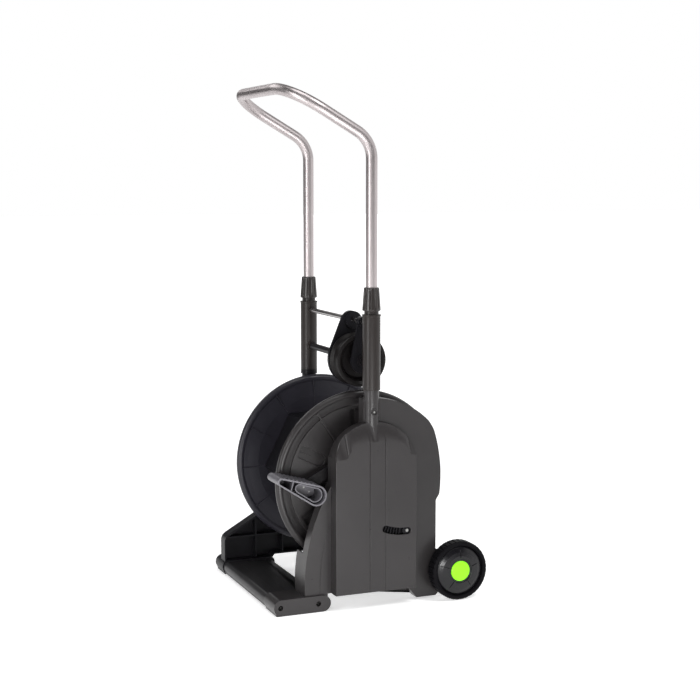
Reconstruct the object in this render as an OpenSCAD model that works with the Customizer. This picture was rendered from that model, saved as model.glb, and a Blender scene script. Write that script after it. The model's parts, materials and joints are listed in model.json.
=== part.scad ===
// Garden hose reel cart with a foot pedal.
// Millimetres. +Z is up, the foot plate faces -Y, the wheels are at +Y.
// The geared side is +X. The origin is on the ground, at the middle of the cart.
// Modules draw their shapes with Y = 0 at the reel axis; piece() moves them to the origin.

/* [Frame] */
// Distance from the cart's middle plane to each upright
upright_x = 170; // [165:1:175]
// Height of the reel axis above the ground
reel_z = 242.7; // [240:0.1:246]
// Outer face of the geared side panel
panel_x = 172; // [171:0.5:173]
// Depth of each side panel
panel_depth = 25; // [23:1:26]
// Wall thickness of moulded panels
wall = 3; // [2.4:0.1:3.4]

/* [Gear cover] */
// Outer face of the gear cover
cover_x = 198; // [196:0.5:200]
// Half of the gear cover's width
cover_half = 85; // [83:1:88]
// Height of the top of the gear cover's arch
cover_top = 366; // [362:1:370]

/* [Handle] */
// Diameter of the handle tube
handle_d = 22; // [20:0.5:22]
// Height at which the straight legs of the handle end
handle_leg_top = 872; // [860:1:890]
// How far the handle leans forward
handle_reach = 168; // [160:1:185]

/* [Reel] */
// Outer radius of the two reel flanges
flange_r = 178; // [174:0.5:178.5]
// Corner radius of the six-sided reel core
core_r = 120; // [112:1:122]
// Hose side of the geared flange
hose_max_x = 104; // [100:1:104]
// Hose side of the water side flange
hose_min_x = -117; // [-117:1:-108]

/* [Pedal] */
// Lift of the pedal from its lower stop, in degrees
pedal_lift = 23.5; // [20:0.5:23.5]
// Inner end of the pedal loop
pedal_min_x = 123; // [122:0.5:125]
// Outer end of the pedal loop
pedal_max_x = 184; // [180:1:186]

/* [Hose guide] */
// Height of the lower guide rod
lower_rod_z = 479.7; // [478:0.1:482]
// Height of the upper guide rod
upper_rod_z = 556.7; // [555:0.1:558]
// Radius of the guide roller
roller_r = 52.5; // [48:0.5:53]

/* [Wheels] */
// Wheel radius
wheel_r = 59.3; // [58:0.1:61]
// Distance of the axle behind the reel axis
axle_y = 177; // [174:0.5:178]
// Width of each wheel
wheel_w = 30; // [28:1:31]

/* [Hidden] */
$fn = 64;
eps = 0.02;

// running and sliding gaps
run_gap = 0.08;
slide_gap = 0.1;
free_gap = 0.3;

// frame
panel_min_x = panel_x - panel_depth;
panel_rear_y = 139.5;
panel_bottom = 33;
left_outer_x = 176;
left_inner_x = 150;
leg_arc_r = 375;
leg_arc_y = 235;
leg_arc_z = 50;
leg_foot_z = 22;
sleeve_r = 15;
sleeve_top = 428;
sleeve_bottom = 335;
pocket_bottom = 262;
spigot_r = 13;
spigot_bottom = 372;
channel_r = 12;
bush_r = 12;
boss_r = 20;
axle_r = 6;
axle_boss_r = 16;

// foot blocks and plate
cap_front_y = -205;
cap_rear_y = -88;
cap_h = 32;
cap_r = cap_h / 2;
right_cap_x = [116, 178];
left_cap_x = [-200, -150];
foot_screw_z = 16.3;
foot_screw_y = [-191.7, -113.6];
foot_screw_r = 2;

// uprights and clamps
upright_r = 17.5;
upright_rim_r = 18.4;
upright_top = 575;
neck_r = 14;
neck_top = 606;
upright_bore_r = handle_d / 2 + 0.4;
nut_bottom = 582;
nut_top = 627;
nut_r = [18, 14.8];
collet_top = 621.5;
upper_rod_r = 5;
lower_rod_r = 7;
rod_end_x = upright_x - 13.2;
upright_screw_z = 386;

// handle
handle_bottom = 480;
handle_wall = 1.5;
handle_bend_r = 60;
handle_bend = 60;
handle_corner_r = 80;

// gear cover
bevel_h = 35;
bevel_tilt = atan2(bevel_h, 17);

// gears: both tooth counts and the module set the pedal shaft's place
tooth = 2;
pinion_teeth = 18;
sector_teeth = 46;
gear_centres = tooth * (pinion_teeth + sector_teeth) / 2;
pedal_y = 60;
pedal_z = reel_z + sqrt(gear_centres * gear_centres - pedal_y * pedal_y);
mesh_angle = 180 + atan2(pedal_z - reel_z, pedal_y);
gear_x = [178, 187];
pedal_shaft_r = 7;
slot_r = 116;
slot_half = 7;
slot_rest_angle = -87;

// pedal
pedal_tip = [-190, 263];
pedal_tip_r = 8;
pedal_heel = [-118.5, 231];
pedal_heel_r = 20;
pedal_wall = 3;
arm_x = [127, 135];

// reel
shaft_r = 8;
flange_bead_r = 8;
flange_skin = 3;
pattern_phase = 3.5;
flange_screw_r = 100;

// hose guide
guide_min_x = 72;
guide_max_x = 127;
guide_plate = 4;
carriage_r = 53;

// wheels
hub_bore_r = axle_r + run_gap;
wheel_max_x = 211;
wheel_min_x = wheel_max_x - wheel_w;
clip_x = wheel_max_x - 6;

dark_grey = "#4b4749";
black = "#1d1b1c";
grey = "#8a8688";
bare_metal = "#c9bfc1";
lime = "#a6ff33";

// Middle of the cart's depth, which the origin stands under
middle_y = (axle_y + wheel_r + cap_front_y) / 2;

// ---------- helpers ----------

// Colours a node and moves it from the reel axis to the cart's own origin.
module piece(colour) {
    color(colour)
        translate([0, -middle_y, 0])
            children();
}

// Turns the drawing plane to the side view: x becomes Y, y becomes Z, and height becomes X.
module side_view(y = 0, z = 0) {
    translate([0, y, z])
        rotate([90, 0, 90])
            children();
}

// A side view outline with thickness from x0 to x1.
module slab(x0, x1) {
    side_view()
        translate([0, 0, x0])
            linear_extrude(x1 - x0)
                children();
}

// A cylinder along X.
module rod_x(x0, x1, r, y = 0, z = 0, r_end = -1) {
    side_view(y, z)
        translate([0, 0, x0])
            cylinder(h = x1 - x0, r1 = r, r2 = r_end < 0 ? r : r_end);
}

// A ring along X.
module ring_x(x0, x1, r, bore, y = 0, z = 0) {
    difference() {
        rod_x(x0, x1, r, y, z);
        rod_x(x0 - 1, x1 + 1, bore, y, z);
    }
}

// Two circles joined by their common tangents, set a hair inside them.
module link_2d(a, ra, b, rb) {
    dir = atan2(b[1] - a[1], b[0] - a[0]);
    tilt = acos((ra - rb) / norm(b - a));
    up = [cos(dir + tilt), sin(dir + tilt)];
    down = [cos(dir - tilt), sin(dir - tilt)];
    translate(a)
        circle(ra);
    translate(b)
        circle(rb);
    polygon([a + (ra - eps) * up, a + (ra - eps) * down, b + (rb - eps) * down, b + (rb - eps) * up]);
}

module rect_2d(y0, y1, z0, z1) {
    translate([y0, z0])
        square([y1 - y0, z1 - z0]);
}

// A screw along X: the head lies between x_head and x_head + head_h * side.
module screw_x(x_head, side, head_r, head_h, shank_r, shank_l, y, z) {
    rod_x(min(x_head, x_head + side * head_h), max(x_head, x_head + side * head_h), head_r, y, z);
    rod_x(min(x_head, x_head - side * shank_l), max(x_head, x_head - side * shank_l), shank_r, y, z);
}

// ---------- side panels ----------

// Curved front leg of the geared side, from the foot up to the gear cover.
module leg_2d(inset) {
    intersection() {
        translate([leg_arc_y, leg_arc_z])
            circle(leg_arc_r - inset, $fn = 256);
        union() {
            rect_2d(-160, -60, panel_bottom + inset, 262 - inset);
            rect_2d(-160, -92.2 - inset, leg_foot_z + inset, panel_bottom + inset + 1);
        }
    }
}

// Arched shape of the gear cover, seen from the side.
function arch_points(half, side_z, top_z, bottom_z, steps) = concat(
    [[-half, bottom_z], [half, bottom_z]],
    [for (i = [0:steps]) [half * cos(180 * i / steps), side_z + (top_z - side_z) * sin(180 * i / steps)]]
);

// The geared side panel's outline. Inset makes the hollow inside it.
module right_panel_2d(inset) {
    leg_2d(inset);
    rect_2d(-cover_half + wall + inset, panel_rear_y - inset, panel_bottom + inset, 300);
    round_back_2d(inset);
    circle_at(0, cover_top - cover_half, cover_half - wall - inset);
    axle_arm_2d(inset);
    rear_foot_2d(inset);
}

module circle_at(y, z, r) {
    translate([y, z])
        circle(r, $fn = 128);
}

// Round back of a side panel: a flat-sided arch with a tighter rear shoulder.
module round_back_2d(inset) {
    difference() {
        intersection() {
            circle_at(0, reel_z - 4.2, 173 - inset);
            circle_at(-150, 248, 299.5 - inset);
            rect_2d(-sleeve_r - 2 + inset, 200, 200, 420);
        }
        difference() {
            rect_2d(60, 200, 292, 420);
            circle_at(34, 292, 112 - inset);
        }
        polygon([
            [panel_rear_y - inset, 190],
            [panel_rear_y - inset, 199],
            [149 - inset, 214],
            [180, 214],
            [180, 190]
        ]);
    }
}

module axle_arm_2d(inset) {
    link_2d([axle_y, wheel_r], axle_boss_r + 4 - inset, [120, 80], 26 - inset);
}

module rear_foot_2d(inset) {
    polygon([
        [78 + inset, panel_bottom + 20],
        [78 + inset, panel_bottom - 4 + inset],
        [98 + inset / 2, 4 + inset],
        [140 - inset / 2, 4 + inset],
        [150 - inset, 14 + inset],
        [150 - inset, panel_bottom + 20]
    ]);
}

// The water side panel's outline.
module left_panel_2d(inset) {
    polygon([
        [-200 + inset, panel_bottom - 8 + inset],
        [-200 + inset, 73 - inset / 2],
        [-197 + inset, 80 - inset / 2],
        [-191 + inset, 85.4 - inset],
        [-126 + inset, 123 - inset],
        [-60, 161 - inset],
        [-60, panel_bottom + inset],
        [-88, panel_bottom + inset],
        [-95 - inset / 2, panel_bottom - 8 + inset]
    ]);
    rect_2d(-90, panel_rear_y - inset, panel_bottom + inset, 260);
    round_back_2d(inset);
    circle_at(0, reel_z, 120 - inset);
    axle_arm_2d(inset);
    rear_foot_2d(inset);
}

// Sleeve that holds an upright's spigot, standing on a side panel.
module sleeve(x, z0) {
    translate([x, 0, z0])
        cylinder(h = sleeve_top - z0, r = sleeve_r);
}

module sleeve_bores(x, z0) {
    translate([x, 0, z0])
        cylinder(h = 500 - z0, r = channel_r);
    translate([x, 0, spigot_bottom - 0.2])
        cylinder(h = 200, r = spigot_r + eps);
}

module right_side_panel() {
    piece(dark_grey)
        difference() {
            union() {
                difference() {
                    slab(panel_min_x, panel_x)
                        right_panel_2d(0);
                    slab(panel_min_x - 1, panel_x - wall)
                        right_panel_2d(wall);
                }
                sleeve(upright_x, sleeve_bottom);
                rod_x(panel_min_x, panel_x, boss_r, 0, reel_z);
                rod_x(panel_min_x, panel_x, boss_r - 3, pedal_y, pedal_z);
                rod_x(panel_min_x, wheel_min_x - 0.5, axle_boss_r, axle_y, wheel_r);
                rod_x(upright_x, upright_x + 17, 6.5, 0, upright_screw_z);
                panel_ribs(panel_min_x + 4, panel_x - 1);
                leg_front_wall();
                cover_posts();
            }
            sleeve_bores(upright_x, 264);
            rod_x(100, 300, bush_r + eps, 0, reel_z);
            rod_x(100, 300, 10 + eps, pedal_y, pedal_z);
            rod_x(100, 300, axle_r + eps, axle_y, wheel_r);
            rod_x(upright_x, 300, 2.1, 0, upright_screw_z);
            rod_x(upright_x + 14.5, 300, 5, 0, upright_screw_z);
            cover_screw_holes();
            leg_groove();
        }
}

// Fine groove on the leg's side, parallel to its front edge.
module leg_groove() {
    slab(panel_x - 0.8, panel_x + 1)
        intersection() {
            difference() {
                circle_at(leg_arc_y, leg_arc_z, leg_arc_r - 30.4);
                circle_at(leg_arc_y, leg_arc_z, leg_arc_r - 31.8);
            }
            rect_2d(-112, -84, cap_h + 1, 188);
        }
}

// Stiffening ribs inside a panel.
module panel_ribs(x0, x1) {
    slab(x0, x1) {
        rect_2d(-78, -14, 186, 189);
        rect_2d(-120, 138, 118, 121);
        rect_2d(24, 138, 186, 189);
        rect_2d(84, 138, 262, 265);
        rect_2d(-3, 0, 40, 224);
        rect_2d(84, 87, 40, 320);
    }
}

// The leg's front wall carries on inward to the full width of the foot block.
module leg_front_wall() {
    slab(right_cap_x[0], panel_min_x + 1)
        difference() {
            intersection() {
                circle_at(leg_arc_y, leg_arc_z, leg_arc_r - 0.1);
                rect_2d(-160, -60, cap_h, 112);
            }
            circle_at(leg_arc_y, leg_arc_z, leg_arc_r - wall);
        }
}

cover_posts_yz = [[-70, 52], [68, 52], [-70, 296], [68, 322]];

module cover_posts() {
    for (p = cover_posts_yz)
        rod_x(panel_x - 8, panel_x - 1, 8, p[0], p[1]);
}

module cover_screw_holes() {
    for (p = cover_posts_yz)
        rod_x(panel_x - 9, panel_x + 1, foot_screw_r + eps, p[0], p[1]);
}

module left_side_panel() {
    piece(black)
        difference() {
            union() {
                difference() {
                    slab(-left_outer_x, -left_inner_x)
                        left_panel_2d(0);
                    slab(-left_outer_x + wall, -left_inner_x + 1)
                        left_panel_2d(wall);
                }
                sleeve(-upright_x, pocket_bottom);
                translate([-upright_x, 0, sleeve_top - 9])
                    cylinder(h = 9, r = upright_r);
                rod_x(-left_outer_x, -left_inner_x, boss_r, 0, reel_z);
                rod_x(-wheel_min_x + 0.5, -left_inner_x, axle_boss_r, axle_y, wheel_r);
                rod_x(-upright_x - 17, -upright_x, 6.5, 0, upright_screw_z);
                left_ribs(-left_outer_x + 1, -left_inner_x - 4);
            }
            sleeve_bores(-upright_x, 264);
            rod_x(-300, -100, bush_r + eps, 0, reel_z);
            rod_x(-300, -100, axle_r + eps, axle_y, wheel_r);
            rod_x(-300, -upright_x, 2.1, 0, upright_screw_z);
            rod_x(-300, -upright_x - 14.5, 5, 0, upright_screw_z);
        }
}

module left_ribs(x0, x1) {
    slab(x0, x1) {
        rect_2d(-195, 138, 76, 79);
        rect_2d(-130, -127, 30, 117);
        rect_2d(-70, -67, 36, 320);
        rect_2d(68, 71, 36, 380);
        rect_2d(-110, 138, 176, 179);
        rect_2d(20, 138, 262, 265);
    }
}

// ---------- gear cover ----------

// Face of the cover at its front, seen along the slope of its roof: broad shoulders with a low arch.
function roof_points(half, top, bottom) = concat(
    [[-half, bottom], [half, bottom], [half, top - 34 * cos(bevel_tilt)]],
    [for (i = [0:24]) [6 + 66 * cos(180 * i / 24), top + 30 * (sin(180 * i / 24) - 1) * cos(bevel_tilt)]],
    [[-half, top - 34 * cos(bevel_tilt)]]
);

// The cover's body: an arch whose roof slopes back from the face.
module cover_block(inset, depth) {
    intersection() {
        slab(panel_x + 0.1 - inset, depth)
            polygon(arch_points(cover_half - inset, 290, cover_top - inset, panel_bottom + inset, 40));
        translate([cover_x, 0, cover_top - bevel_h])
            rotate([0, bevel_tilt, 0])
                slab(-120, 320)
                    polygon(roof_points(cover_half + 8, -inset, -400));
    }
}

module gear_cover() {
    piece(dark_grey)
        difference() {
            union() {
                difference() {
                    cover_block(0, cover_x);
                    cover_block(wall, cover_x - wall);
                }
                cover_bosses();
            }
            arc_slot(slot_rest_angle - pedal_lift, slot_rest_angle, slot_r, slot_half, cover_x - 10, cover_x + 1);
            cover_grooves();
            sleeve_clearance();
            for (p = cover_posts_yz)
                rod_x(panel_x - 1, panel_x + 16, foot_screw_r + eps, p[0], p[1]);
        }
}

// The cover's arch fits round the upright's sleeve.
module sleeve_clearance() {
    translate([upright_x, 0, sleeve_bottom - 1])
        cylinder(h = 60, r = sleeve_r + eps);
}

module cover_bosses() {
    intersection() {
        for (p = cover_posts_yz)
            rod_x(panel_x + 0.1, cover_x, 5, p[0], p[1]);
        cover_block(1, cover_x - 1);
    }
}

// Two upright seams on the cover's face.
module cover_grooves() {
    for (y = [-14, 19])
        translate([cover_x - 0.8, y - 0.7, 20])
            cube([5, 1.4, 330]);
}

// A slot that follows an arc round the pedal shaft, with round ends.
module arc_slot(a0, a1, r, half, x0, x1) {
    side_view(pedal_y, pedal_z)
        translate([0, 0, x0]) {
            rotate([0, 0, a0])
                rotate_extrude(angle = a1 - a0)
                    translate([r - half + 3 * eps, 0])
                        square([2 * half - 6 * eps, x1 - x0]);
            for (a = [a0, a1])
                translate([r * cos(a), r * sin(a), 0])
                    cylinder(h = x1 - x0, r = half);
        }
}

module cover_screws() {
    piece(grey)
        for (p = cover_posts_yz)
            screw_x(panel_x - 8, -1, 4, 2.4, foot_screw_r, 22, p[0], p[1]);
}

// ---------- foot ----------

module cap_outline(inset) {
    translate([cap_front_y + cap_r, cap_r])
        circle(cap_r - inset);
    translate([cap_rear_y - cap_r, cap_r])
        circle(cap_r - inset);
    rect_2d(cap_front_y + cap_r, cap_rear_y - cap_r, inset, cap_h - inset);
    polygon([
        [cap_front_y + 5 + inset, inset],
        [cap_front_y + 2 + inset, 12],
        [cap_front_y + 30, 12],
        [cap_front_y + 30, inset]
    ]);
}

module right_foot_cap() {
    piece(dark_grey)
        difference() {
            slab(right_cap_x[0], right_cap_x[1])
                cap_outline(0);
            slab(panel_min_x - 0.1, panel_x + 0.1)
                intersection() {
                    translate([leg_arc_y, leg_arc_z])
                        circle(leg_arc_r + 0.1, $fn = 256);
                    rect_2d(-160, -92, leg_foot_z - 0.2, cap_h + 5);
                }
            for (y = foot_screw_y) {
                rod_x(right_cap_x[0] - 1, right_cap_x[1] + 1, foot_screw_r + eps, y, foot_screw_z);
                rod_x(right_cap_x[1] - 30, right_cap_x[1] + 1, 5.2, y, foot_screw_z);
            }
        }
}

module left_foot_cap() {
    piece(black)
        difference() {
            slab(left_cap_x[0], left_cap_x[1])
                cap_outline(0);
            slab(-left_outer_x - 0.1, -left_inner_x + 1)
                rect_2d(-200.2, -60, panel_bottom - 8.2, cap_h + 5);
            for (y = foot_screw_y) {
                rod_x(left_cap_x[0] - 1, left_cap_x[1] + 1, foot_screw_r + eps, y, foot_screw_z);
                rod_x(left_cap_x[0] - 1, left_cap_x[0] + 12, 5.2, y, foot_screw_z);
            }
        }
}

// Cross section of the foot plate: a shallow channel with a round nose.
module plate_section() {
    difference() {
        union() {
            translate([-191.5, 15])
                circle(11.5);
            rect_2d(-200, -191, 3.5, 8);
            polygon([[-192, 26.5], [-97, 22], [-93, 18], [-93, 5], [-96, 3.5], [-198, 3.5]]);
        }
        polygon([[-190, 23], [-98, 18.8], [-96.2, 17], [-96.2, 3], [-190, 3]]);
    }
}

module foot_plate() {
    piece(dark_grey)
        difference() {
            union() {
                slab(left_cap_x[1], right_cap_x[0])
                    plate_section();
                for (x = [left_cap_x[1], -84, -18, 48, right_cap_x[0] - 4])
                    slab(x, x + 4)
                        polygon([[-191, 24], [-97, 20], [-95, 5], [-191, 5]]);
                for (y = foot_screw_y) {
                    rod_x(left_cap_x[1], left_cap_x[1] + 16, 5, y, foot_screw_z - 0.6);
                    rod_x(right_cap_x[0] - 16, right_cap_x[0], 5, y, foot_screw_z - 0.6);
                }
                for (y = [-172, -152, -132, -112])
                    slab(left_cap_x[1] + 12, right_cap_x[0] - 12)
                        rect_2d(y, y + 3, 20, 26.6 - (y + 192) * 0.0474);
            }
            for (y = foot_screw_y) {
                rod_x(left_cap_x[1] - 1, left_cap_x[1] + 15, foot_screw_r + eps, y, foot_screw_z);
                rod_x(right_cap_x[0] - 15, right_cap_x[0] + 1, foot_screw_r + eps, y, foot_screw_z);
            }
        }
}

module foot_screws() {
    piece(grey)
        for (y = foot_screw_y) {
            screw_x(right_cap_x[1] - 30, 1, 4.6, 3, foot_screw_r, 46, y, foot_screw_z);
            screw_x(left_cap_x[0] + 12, -1, 4.6, 3, foot_screw_r, 42, y, foot_screw_z);
        }
}

// ---------- uprights ----------

module upright(side) {
    x = side * upright_x;
    difference() {
        union() {
            translate([x, 0, sleeve_top])
                cylinder(h = upright_top - sleeve_top, r = upright_r);
            translate([x, 0, upright_top - 3.5])
                cylinder(h = 3.5, r = upright_rim_r);
            translate([x, 0, upright_top - 1])
                cylinder(h = neck_top - upright_top + 1, r = neck_r);
            translate([x, 0, spigot_bottom])
                cylinder(h = sleeve_top - spigot_bottom + 1, r = spigot_r);
            mirror([side < 0 ? 1 : 0, 0, 0]) {
                rod_x(upright_x - upright_r - 5, upright_x - 12, 10, 0, lower_rod_z);
                rod_x(upright_x - upright_r - 2, upright_x - 12, 7.5, 0, upper_rod_z);
            }
        }
        translate([x, 0, spigot_bottom - 1])
            cylinder(h = 400, r = upright_bore_r);
        mirror([side < 0 ? 1 : 0, 0, 0]) {
            rod_x(100, rod_end_x + 0.1, lower_rod_r + eps, 0, lower_rod_z);
            rod_x(100, rod_end_x + 0.1, upper_rod_r + eps, 0, upper_rod_z);
            rod_x(upright_x, upright_x + 20, foot_screw_r + eps, 0, upright_screw_z);
        }
    }
}

module right_upright() {
    piece(black)
        upright(1);
}

module left_upright() {
    piece(black)
        upright(-1);
}

module upright_screws() {
    piece(bare_metal) {
        screw_x(upright_x + 14.5, 1, 4.4, 2.4, foot_screw_r, 2.6, 0, upright_screw_z);
        screw_x(-upright_x - 14.5, -1, 4.4, 2.4, foot_screw_r, 2.6, 0, upright_screw_z);
    }
}

module upper_guide_rod() {
    piece(bare_metal)
        rod_x(-rod_end_x, rod_end_x, upper_rod_r, 0, upper_rod_z);
}

module lower_guide_rod() {
    piece(black)
        rod_x(-rod_end_x, rod_end_x, lower_rod_r, 0, lower_rod_z);
}

// Split ring that the clamp nut squeezes on to the handle tube.
module collet(x) {
    translate([x, 0, neck_top + 0.3])
        difference() {
            cylinder(h = collet_top - neck_top - 0.3, r1 = neck_r, r2 = 12.6);
            translate([0, 0, -1])
                cylinder(h = 40, r = handle_d / 2 + slide_gap);
            translate([-1, 0, -1])
                cube([2, 20, 40]);
        }
}

module right_collet() {
    piece(grey)
        collet(upright_x);
}

module left_collet() {
    piece(grey)
        collet(-upright_x);
}

module clamp_nut(x) {
    translate([x, 0, nut_bottom])
        difference() {
            cylinder(h = nut_top - nut_bottom, r1 = nut_r[0], r2 = nut_r[1]);
            translate([0, 0, -1])
                cylinder(h = 27.5, r = neck_r + free_gap);
            translate([0, 0, 26.4])
                cylinder(h = 14, r1 = neck_r + free_gap, r2 = 12.9);
            translate([0, 0, 40])
                cylinder(h = 10, r = handle_d / 2 + 0.5);
            for (a = [0:30:330])
                rotate([0, 0, a])
                    translate([nut_r[0] + 1.4, 0, 4])
                        rotate([0, -4.1, 0])
                            cylinder(h = 60, r = 2.4);
        }
}

module right_clamp_nut() {
    piece(black)
        clamp_nut(upright_x);
}

module left_clamp_nut() {
    piece(black)
        clamp_nut(-upright_x);
}

// ---------- handle ----------

// One half of the handle: leg, forward bend, sloping part, corner and half the crossbar.
module handle_half() {
    bend_end_y = -handle_bend_r * (1 - cos(handle_bend));
    bend_end_z = handle_leg_top + handle_bend_r * sin(handle_bend);
    slope_l = (handle_reach + bend_end_y) / sin(handle_bend);
    translate([upright_x, 0, handle_bottom])
        straight_tube(handle_leg_top - handle_bottom);
    translate([upright_x, 0, 0])
        side_view(-handle_bend_r, handle_leg_top)
            bent_tube(handle_bend_r, handle_bend);
    translate([upright_x, bend_end_y, bend_end_z])
        rotate([handle_bend, 0, 0]) {
            straight_tube(slope_l - handle_corner_r);
            translate([-handle_corner_r, 0, slope_l - handle_corner_r])
                rotate([90, 0, 0])
                    bent_tube(handle_corner_r, 90);
        }
}

module straight_tube(length) {
    linear_extrude(length)
        difference() {
            circle(handle_d / 2);
            circle(handle_d / 2 - handle_wall);
        }
}

module bent_tube(bend_r, angle) {
    rotate_extrude(angle = angle)
        translate([bend_r, 0])
            difference() {
                circle(handle_d / 2);
                circle(handle_d / 2 - handle_wall);
            }
}

module handle_tube() {
    crossbar_y = -handle_reach;
    crossbar_z = handle_leg_top + handle_bend_r * sin(handle_bend)
        + (handle_reach - handle_bend_r * (1 - cos(handle_bend))) / tan(handle_bend);
    piece(bare_metal) {
        handle_half();
        mirror([1, 0, 0])
            handle_half();
        translate([handle_corner_r - upright_x, crossbar_y, crossbar_z])
            rotate([0, 90, 0])
                straight_tube(2 * (upright_x - handle_corner_r));
    }
}

module handle_end_plugs() {
    piece(black)
        for (x = [-upright_x, upright_x])
            translate([x, 0, handle_bottom - 4]) {
                cylinder(h = 4, r = handle_d / 2);
                cylinder(h = 22, r = handle_d / 2 - handle_wall - eps);
            }
}

// ---------- reel ----------

// Half section of the geared flange: radius along x, X position along y.
module flange_section(side) {
    face = side > 0 ? hose_max_x : -hose_min_x;
    bead_c = (side > 0 ? flange_r : flange_r + 1.5) - flange_bead_r;
    translate([bead_c, face + flange_bead_r])
        circle(flange_bead_r);
    polygon([
        [shaft_r + eps, face - 8],
        [22, face - 8],
        [22, face + 2],
        [core_r + 14, face],
        [core_r + 36, face + 2],
        [bead_c, face + 1.2],
        [bead_c, face + 5],
        [core_r + 36, face + 2 + flange_skin],
        [core_r + 14, face + flange_skin],
        [26, face + 2 + flange_skin],
        [26, face + 14],
        [shaft_r + eps, face + 14]
    ]);
}

module flange(side) {
    difference() {
        union() {
            rotate_to_side(side)
                rotate_extrude($fn = 180)
                    flange_section(side);
            for (i = [0:5])
                rotate_to_side(side)
                    rotate([0, 0, pattern_phase + 60 * i]) {
                        spoke_ribs(side);
                        spoke_pan(side);
                    }
        }
        for (i = [0:5])
            rotate_to_side(side)
                rotate([0, 0, pattern_phase + 60 * i + side * 12])
                    translate([flange_screw_r, 0, 0])
                        cylinder(h = 400, r = foot_screw_r + eps);
        for (i = [0:5])
            rotate_to_side(side)
                rotate([0, 0, pattern_phase + 30 + 60 * i])
                    spoke_window(side);
    }
}

// Places a shape built along +Z on the reel axis, facing +X or -X.
module rotate_to_side(side) {
    translate([0, 0, reel_z])
        mirror([side < 0 ? 1 : 0, 0, 0])
            rotate([90, 0, 90])
                children();
}

// Radial rib at each corner of the core.
module spoke_ribs(side) {
    face = side > 0 ? hose_max_x : -hose_min_x;
    translate([30, -1.5, face + 1])
        cube([flange_r - 38, 3, 7]);
}

// Raised rim round each radial pocket, open at its outer end.
module spoke_pan(side) {
    face = side > 0 ? hose_max_x : -hose_min_x;
    rotate([0, 0, 30])
        translate([76, -16, face + 1])
            cube([74, 32, 6]);
}

// Radial pocket in the outer face between two ribs.
module spoke_window(side) {
    face = side > 0 ? hose_max_x : -hose_min_x;
    translate([79, -13, face + 3.5])
        cube([68, 26, 20]);
}

module right_flange() {
    piece(dark_grey)
        flange(1);
}

module left_flange() {
    piece(black)
        flange(-1);
}

module hex_2d(r) {
    rotate(pattern_phase)
        circle(r, $fn = 6);
}

module reel_core() {
    piece(black)
        translate([0, 0, reel_z])
            difference() {
                union() {
                    difference() {
                        slab(hose_min_x + 2.1, hose_max_x - 2.1)
                            hex_2d(core_r);
                        slab(hose_min_x - 1, hose_max_x + 1)
                            hex_2d(core_r - 4);
                    }
                    core_screw_posts();
                }
                core_screw_posts_bore();
                rotate([-55, 0, 0])
                    translate([-80, 0, 60])
                        cylinder(h = 100, r = 9.5);
            }
}

module core_screw_posts() {
    for (i = [0:5])
        for (x = [hose_min_x + 2.6, hose_max_x - 22.6])
            rotate([pattern_phase + 60 * i + (x < 0 ? -12 : 12), 0, 0])
                intersection() {
                    translate([0, flange_screw_r, 0])
                        rod_x(x, x + 20, 6);
                    rotate([-60 * i - (x < 0 ? -12 : 12) - pattern_phase, 0, 0])
                        slab(x, x + 20)
                            hex_2d(core_r - 1);
                }
}

module core_screw_posts_bore() {
    for (i = [0:5])
        for (x = [hose_min_x, hose_max_x - 22])
            rotate([pattern_phase + 60 * i + (x < 0 ? -12 : 12), 0, 0])
                translate([0, flange_screw_r, 0])
                    rod_x(x, x + 24, foot_screw_r + eps);
}

module reel_screws() {
    piece(grey)
        for (i = [0:5]) {
            rotate_to_side(1)
                rotate([0, 0, pattern_phase + 60 * i + 12])
                    translate([flange_screw_r, 0, hose_max_x + 4.1])
                        flange_screw();
            rotate_to_side(-1)
                rotate([0, 0, pattern_phase + 60 * i - 12])
                    translate([flange_screw_r, 0, -hose_min_x + 4.1])
                        flange_screw();
        }
}

module flange_screw() {
    cylinder(h = 2.4, r = 4);
    translate([0, 0, -20])
        cylinder(h = 21, r = foot_screw_r);
}

// Where the hose stub joins the inlet cap
inlet_x = -190;

// The shaft carries water from its left end to the feed pipe.
module reel_shaft() {
    piece(grey)
        difference() {
            union() {
                rod_x(-188, 190, shaft_r, 0, reel_z);
                rod_x(hose_max_x + 14.1, hose_max_x + 17, 12, 0, reel_z);
            }
            rod_x(-189, -75, 5, 0, reel_z);
            side_view(0, reel_z)
                translate([0, 0, -80])
                    rotate([0, 90, outlet_angle])
                        cylinder(h = 20, r = 4);
            for (x = [-179, -185])
                ring_x(x - 1.2, x + 1.2, 12, 6, 0, reel_z);
        }
}

// The direction, in the side view, in which water leaves the core.
outlet_angle = 35;

module feed_pipe() {
    piece(grey)
        side_view(0, reel_z)
            translate([0, 0, -80])
                rotate([0, 90, outlet_angle])
                    difference() {
                        translate([0, 0, shaft_r + 0.1])
                            cylinder(h = 85, r = 6);
                        cylinder(h = 200, r = 4);
                    }
}

module hose_outlet() {
    piece(black)
        side_view(0, reel_z)
            translate([0, 0, -80])
                rotate([0, 90, outlet_angle])
                    difference() {
                        union() {
                            translate([0, 0, shaft_r + 85.2])
                                cylinder(h = 29.8, r = 9.4);
                            translate([0, 0, 110])
                                cylinder(h = 9, r = 12.5, $fn = 6);
                            translate([0, 0, 119])
                                cylinder(h = 28, r = 7.5);
                        }
                        cylinder(h = 200, r = 4);
                    }
}

module shaft_seals() {
    piece(black)
        for (x = [-179, -185])
            side_view(0, reel_z)
                translate([0, 0, x])
                    rotate_extrude()
                        translate([7.04, 0])
                            circle(1);
}

module right_reel_bush() {
    piece(grey)
        ring_x(panel_min_x - 2, panel_x + 2, bush_r, shaft_r + run_gap, 0, reel_z);
}

module left_reel_bush() {
    piece(grey)
        ring_x(-left_outer_x - 0.5, -left_inner_x + 2, bush_r, shaft_r + run_gap, 0, reel_z);
}

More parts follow.
